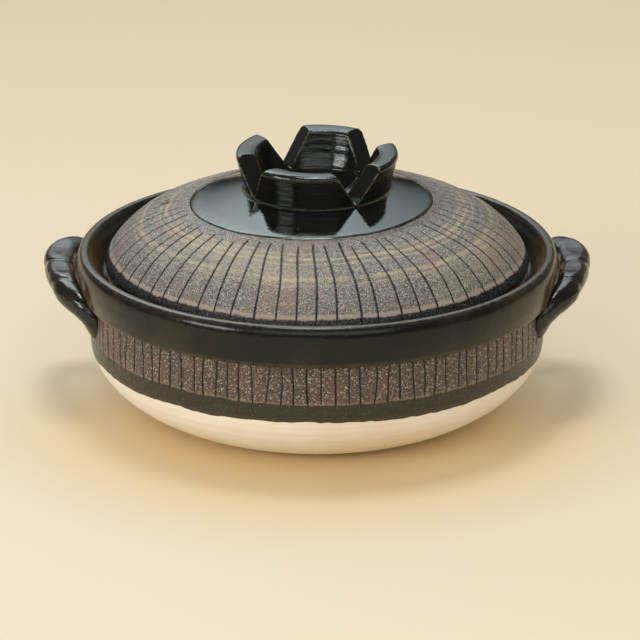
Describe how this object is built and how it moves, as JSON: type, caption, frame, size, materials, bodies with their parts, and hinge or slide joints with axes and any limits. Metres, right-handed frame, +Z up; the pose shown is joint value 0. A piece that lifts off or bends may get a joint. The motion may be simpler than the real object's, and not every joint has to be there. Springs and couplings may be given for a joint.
{
  "type": "donabe clay pot",
  "caption": "Round clay donabe cooking pot with two finger-pressed ears and a loose domed lid that has a notched crown knob and a steam hole.",
  "frame": {"origin": "on the floor under the middle of the base", "axes": "+Z up along the pot's axis, +X out through the right ear, -Y the side seen in the picture"},
  "size_m": [0.3396, 0.294, 0.1619],
  "materials": {
    "black_glaze": "gloss",
    "brown_slip": "satin, speckled",
    "white_clay": "matt"
  },
  "bodies": {
    "pot": {"pot_bowl": "black_glaze", "handle_left": "black_glaze", "handle_right": "black_glaze"},
    "lid": {"lid_dome": "brown_slip", "lid_knob": "black_glaze"}
  },
  "joints": [
    {"name": "lid_lift", "type": "slide", "parent": "pot", "child": "lid", "axis": [0, 0, 1], "range_m": [0, 0.12]}
  ]
}
